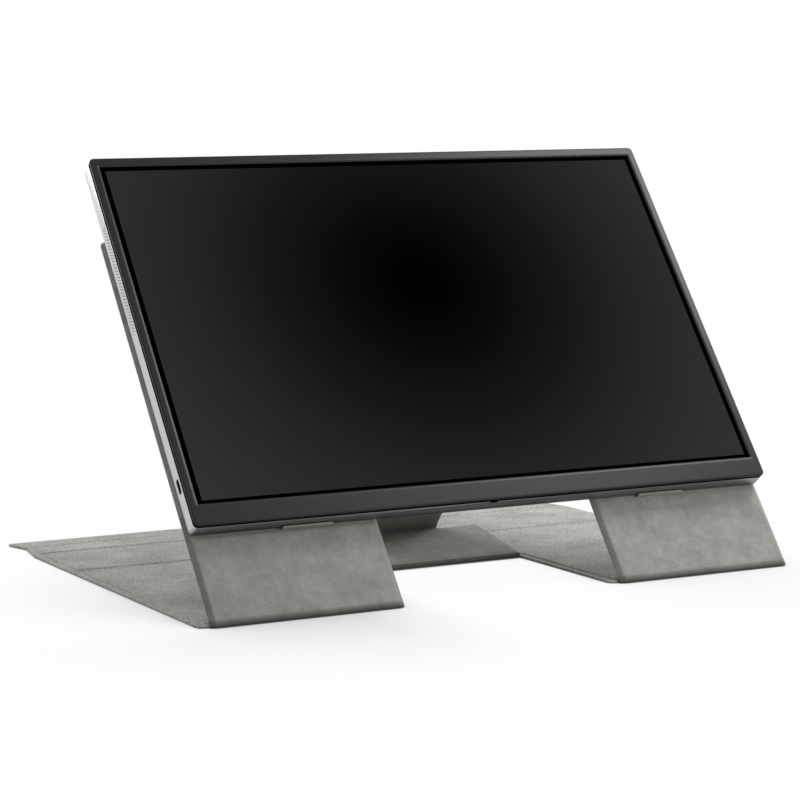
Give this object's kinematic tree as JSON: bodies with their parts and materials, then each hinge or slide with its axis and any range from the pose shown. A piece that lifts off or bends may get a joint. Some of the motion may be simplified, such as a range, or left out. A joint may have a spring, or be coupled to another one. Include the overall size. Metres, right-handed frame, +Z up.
{
  "type": "portable monitor with folding cover stand",
  "caption": "Flat portable monitor held at a slant on a soft fold-out cover with two feet, a rear prop and a flat base sheet.",
  "frame": {"origin": "middle of the whole object's footprint, on the surface it stands on", "axes": "+X to the right as the viewer sees the screen, +Y away from the viewer, +Z up"},
  "size_m": [0.374, 0.3074, 0.2406],
  "materials": {
    "housing": "blasted, anodised silver, satin",
    "bezel": "moulded dark grey, fine satin grain",
    "screen": "anti-glare coated, dark",
    "films": "translucent white film",
    "light_guide": "clear acrylic",
    "lamps": "lamps on a flex strip",
    "sheet_steel": "plain rolled",
    "screws": "zinc plated",
    "circuit_board": "solder mask",
    "ribbon": "laminated",
    "flex": "polyimide",
    "socket_metal": "plated shell",
    "black_plastic": "moulded",
    "light_lens": "clear lens",
    "button": "anodised satin silver",
    "outer_cloth": "fine felt-like weave",
    "board": "grey board",
    "inner_suede": "soft suede-like coating, mottled",
    "ledge": "moulded light grey",
    "magnet": "nickel plated"
  },
  "bodies": {
    "base": {"base_top_sheet": "outer_cloth", "base_board": "board", "base_under_sheet": "inner_suede"},
    "support": {"support_outer_sheet": "outer_cloth", "support_board": "board", "support_inner_sheet": "inner_suede", "front_fold_roll": "inner_suede", "ledge_tabs": "ledge", "support_magnets": "magnet", "catch_plate": "sheet_steel"},
    "monitor": {"rear_housing": "housing", "front_bezel": "bezel", "display_panel": "screen", "optical_films": "films", "light_guide": "light_guide", "led_strip": "lamps", "panel_tray": "sheet_steel", "housing_screws": "screws", "driver_board": "circuit_board", "port_board": "circuit_board", "ribbon_cable": "ribbon", "display_flex": "flex", "left_usb_c_socket": "socket_metal", "right_usb_c_socket": "socket_metal", "mini_hdmi_socket": "socket_metal", "audio_jack": "black_plastic", "left_speaker": "black_plastic", "right_speaker": "black_plastic", "monitor_steel_plates": "sheet_steel", "status_light": "light_lens"},
    "power_key": {"power_button": "button"},
    "menu_key": {"menu_button": "button"},
    "tongue": {"tongue_top_sheet": "inner_suede", "tongue_board": "board", "tongue_under_sheet": "outer_cloth", "tongue_fold_roll": "inner_suede"},
    "strut": {"strut_front_sheet": "inner_suede", "strut_board": "board", "strut_back_sheet": "outer_cloth", "crest_roll": "inner_suede", "strut_magnets": "magnet"},
    "rear_panel": {"rear_top_sheet": "outer_cloth", "rear_board": "board", "rear_under_sheet": "inner_suede"},
    "spine_strip": {"spine_top_sheet": "outer_cloth", "spine_board": "board", "spine_under_sheet": "inner_suede"},
    "closing_flap": {"flap_top_sheet": "outer_cloth", "flap_under_sheet": "inner_suede", "flap_magnets": "magnet"}
  },
  "joints": [
    {"name": "stand_fold", "type": "hinge", "parent": "base", "child": "support", "pos_m": [0, -0.15027, 0.0016], "axis": [1, 0, 0], "range_deg": [-40, 0]},
    {"name": "monitor_lift", "type": "slide", "parent": "support", "child": "monitor", "axis": [0, -0.7944, 0.6074], "range_m": [0, 0.04]},
    {"name": "power_press", "type": "slide", "parent": "monitor", "child": "power_key", "axis": [-1, 0, 0], "range_m": [0, 0.0004], "stiffness_N_per_m": 600, "springref_m": -0.0005},
    {"name": "menu_press", "type": "slide", "parent": "monitor", "child": "menu_key", "axis": [-1, 0, 0], "range_m": [0, 0.0004], "stiffness_N_per_m": 600, "springref_m": -0.0005},
    {"name": "tongue_fold", "type": "hinge", "parent": "base", "child": "tongue", "pos_m": [0, -0.04777, 0.0017], "axis": [1, 0, 0], "range_deg": [-9.4, 0]},
    {"name": "strut_fold", "type": "hinge", "parent": "tongue", "child": "strut", "pos_m": [0, 0.00664, 0.0127], "axis": [1, 0, 0], "range_deg": [-120, 0]},
    {"name": "rear_fold", "type": "hinge", "parent": "base", "child": "rear_panel", "pos_m": [0, 0.03673, 0.0016], "axis": [1, 0, 0], "range_deg": [0, 90]},
    {"name": "spine_fold", "type": "hinge", "parent": "rear_panel", "child": "spine_strip", "pos_m": [0, 0.10473, 0.0016], "axis": [1, 0, 0], "range_deg": [0, 90]},
    {"name": "flap_fold", "type": "hinge", "parent": "spine_strip", "child": "closing_flap", "pos_m": [0, 0.13373, 0.0016], "axis": [1, 0, 0], "range_deg": [0, 90]}
  ],
  "couplings": [
    {"joint": "tongue_fold", "follows": "stand_fold", "ratio": 0.235},
    {"joint": "strut_fold", "follows": "stand_fold", "ratio": 3}
  ]
}
